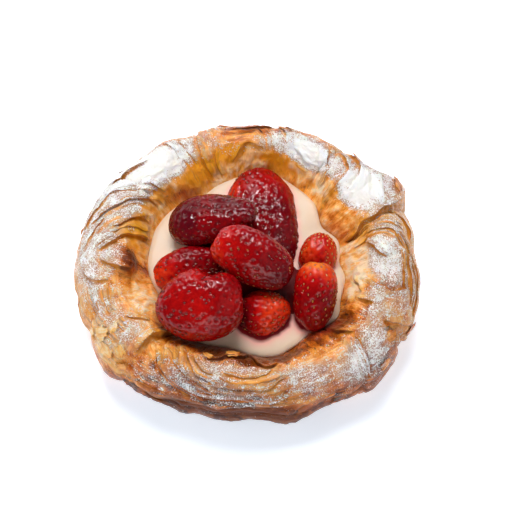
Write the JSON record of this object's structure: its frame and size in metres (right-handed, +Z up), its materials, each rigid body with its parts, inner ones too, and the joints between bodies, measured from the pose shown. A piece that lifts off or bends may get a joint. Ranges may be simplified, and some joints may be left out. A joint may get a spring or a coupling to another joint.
{
  "type": "danish pastry",
  "caption": "Round folded danish pastry with a flaky sugar-dusted rim, a well of pastry cream and glazed strawberries, lying flat on its base.",
  "frame": {"origin": "middle of the flat base on which the pastry rests", "axes": "+Z up out of the filling, +X to the right and +Y to the back as the shown side is looked down on, +X along the longer width"},
  "size_m": [0.1084, 0.0984, 0.0395],
  "materials": {
    "baked_dough": "baked laminated dough, golden brown, satin",
    "pastry_cream": "set pastry cream, smooth",
    "strawberry": "cooked strawberry under a clear glaze",
    "icing_sugar": "sifted icing sugar, matt",
    "achene": "strawberry seeds under glaze",
    "fruit_juice": "dark strawberry syrup, wet"
  },
  "bodies": {
    "root": {"crust": "baked_dough", "pastry_cream": "pastry_cream", "strawberry_crown": "strawberry", "strawberry_west": "strawberry", "strawberry_middle": "strawberry", "strawberry_front": "strawberry", "strawberry_behind": "strawberry", "strawberry_small": "strawberry", "strawberry_east": "strawberry", "strawberry_north_east": "strawberry"}
  },
  "joints": []
}
